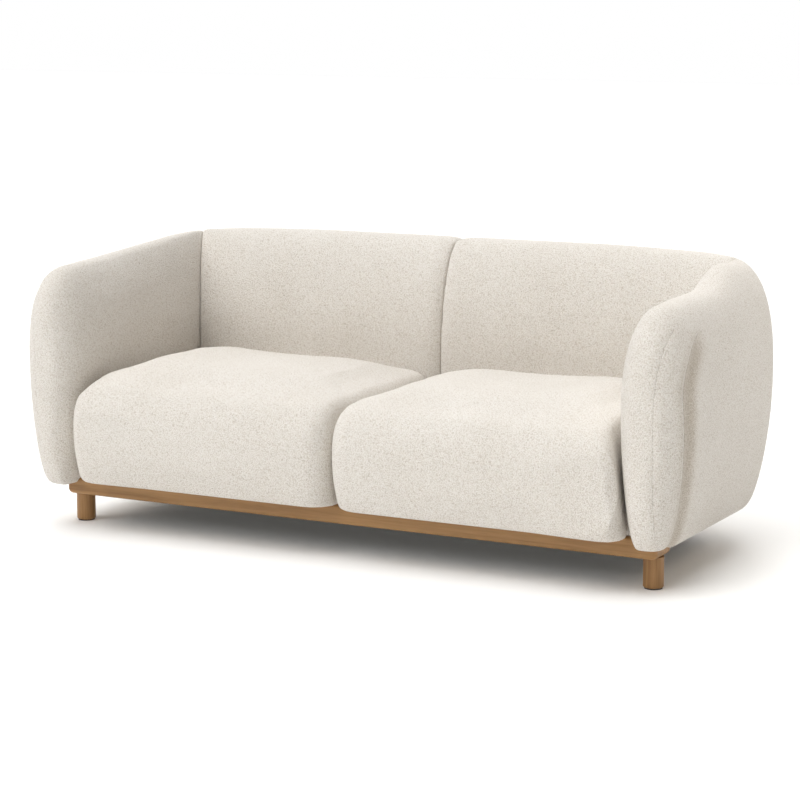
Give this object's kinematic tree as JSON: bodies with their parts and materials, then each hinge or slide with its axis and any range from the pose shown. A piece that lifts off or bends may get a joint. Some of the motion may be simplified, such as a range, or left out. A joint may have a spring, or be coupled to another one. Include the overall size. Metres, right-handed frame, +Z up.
{
  "type": "sofa",
  "caption": "Low two-seat sofa: a rounded padded tub of arms and back, loose seat cushions, and a wooden plinth on short round legs.",
  "frame": {"origin": "on the floor, below the middle of the sofa's outline", "axes": "+X along the sofa to the right as seen from the front, -Y out of the front, +Z up"},
  "size_m": [1.86, 0.904, 0.7377],
  "materials": {
    "boucle": "oatmeal boucle upholstery cloth",
    "oak": "satin lacquered oak",
    "plywood": "raw plywood and softwood",
    "webbing": "woven elastic webbing",
    "dust_cloth": "black non-woven cloth",
    "foam": "upholstery foam",
    "zinc": "zinc plated",
    "glide": "moulded nylon"
  },
  "bodies": {
    "frame": {"front_plinth_rail": "oak", "rear_plinth_rail": "oak", "left_plinth_rail": "oak", "right_plinth_rail": "oak", "plinth_cross_rail": "plywood", "corner_blocks": "plywood", "front_left_leg": "oak", "front_right_leg": "oak", "rear_left_leg": "oak", "rear_right_leg": "oak", "leg_bolts": "zinc", "leg_glides": "glide", "seat_webbing": "webbing", "cross_webbing": "webbing", "dust_cover": "dust_cloth", "left_arm": "boucle", "right_arm": "boucle", "left_arm_facing": "boucle", "right_arm_facing": "boucle", "left_arm_inner_panel": "plywood", "right_arm_inner_panel": "plywood", "left_arm_outer_panel": "plywood", "right_arm_outer_panel": "plywood", "arm_battens": "plywood", "arm_bolts": "zinc", "left_back": "boucle", "right_back": "boucle", "back_posts": "plywood", "back_top_rail": "plywood", "back_board": "plywood"},
    "left_seat": {"left_seat_cover": "boucle", "left_seat_core": "foam"},
    "right_seat": {"right_seat_cover": "boucle", "right_seat_core": "foam"}
  },
  "joints": [
    {"name": "left_seat_lift", "type": "slide", "parent": "frame", "child": "left_seat", "axis": [0, 0, 1], "range_m": [0, 0.63]},
    {"name": "right_seat_lift", "type": "slide", "parent": "frame", "child": "right_seat", "axis": [0, 0, 1], "range_m": [0, 0.63]}
  ]
}
